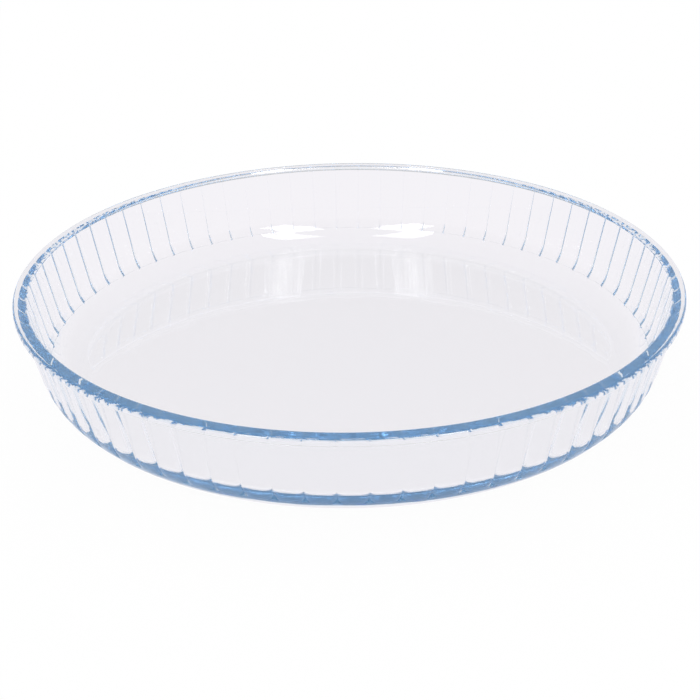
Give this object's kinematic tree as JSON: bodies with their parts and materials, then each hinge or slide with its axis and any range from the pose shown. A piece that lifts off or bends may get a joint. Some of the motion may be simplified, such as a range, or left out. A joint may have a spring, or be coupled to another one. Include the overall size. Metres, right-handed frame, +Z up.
{
  "type": "pie dish",
  "caption": "Round shallow clear pressed-glass baking dish with a fluted sloping wall, a smooth rim bead and a flat base, for baking and serving pies and flans.",
  "frame": {"origin": "middle of the flat underside, on the surface that the dish stands on", "axes": "+Z up along the dish's axis, towards its open mouth; a flute crest lies on -Y"},
  "size_m": [0.28, 0.28, 0.0405],
  "materials": {
    "clear_glass": "smooth fire-polished pressed clear glass, faintly blue where it is seen edge on"
  },
  "bodies": {
    "root": {"glass_dish": "clear_glass"}
  },
  "joints": []
}
